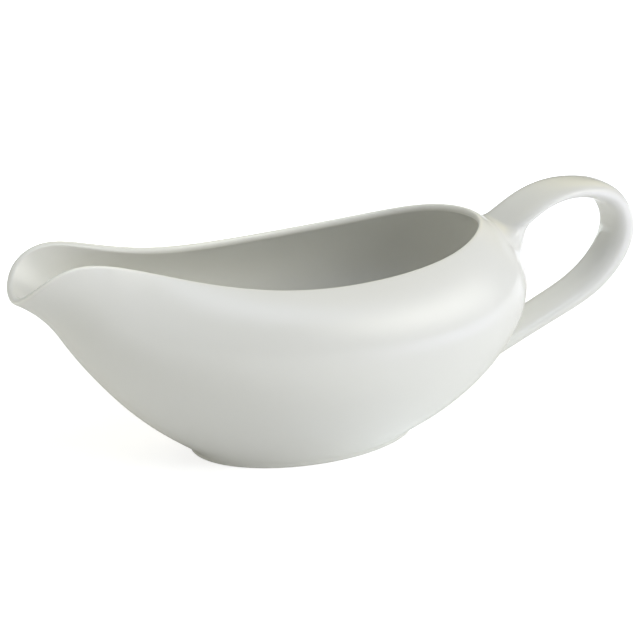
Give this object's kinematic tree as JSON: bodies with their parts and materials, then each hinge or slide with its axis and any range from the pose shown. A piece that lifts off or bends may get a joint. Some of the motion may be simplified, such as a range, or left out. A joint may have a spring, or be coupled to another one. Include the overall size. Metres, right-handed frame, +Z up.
{
  "type": "gravy boat",
  "caption": "Footed oval sauce boat in glazed white porcelain, with a flared pouring lip at one end and a looped strap handle luted on at the other.",
  "frame": {"origin": "middle of the overall box in plan, on the table plane under the foot", "axes": "+Z up, +X towards the handle and -X towards the pouring lip; the plane y = 0 is the mirror plane"},
  "size_m": [0.239, 0.0936, 0.0789],
  "materials": {
    "white_glaze": "glossy clear glaze over white porcelain, smooth, with soft wide highlights",
    "glazed_slip": "the same glossy clear glaze, pooled slightly thicker in the hollow of the joint",
    "bare_foot": "glazed on its sides; contact face wiped bare before firing, matt and slightly rough"
  },
  "bodies": {
    "root": {"body": "white_glaze", "foot_ring": "bare_foot", "handle": "white_glaze", "upper_luting_fillet": "glazed_slip", "lower_luting_fillet": "glazed_slip"}
  },
  "joints": []
}
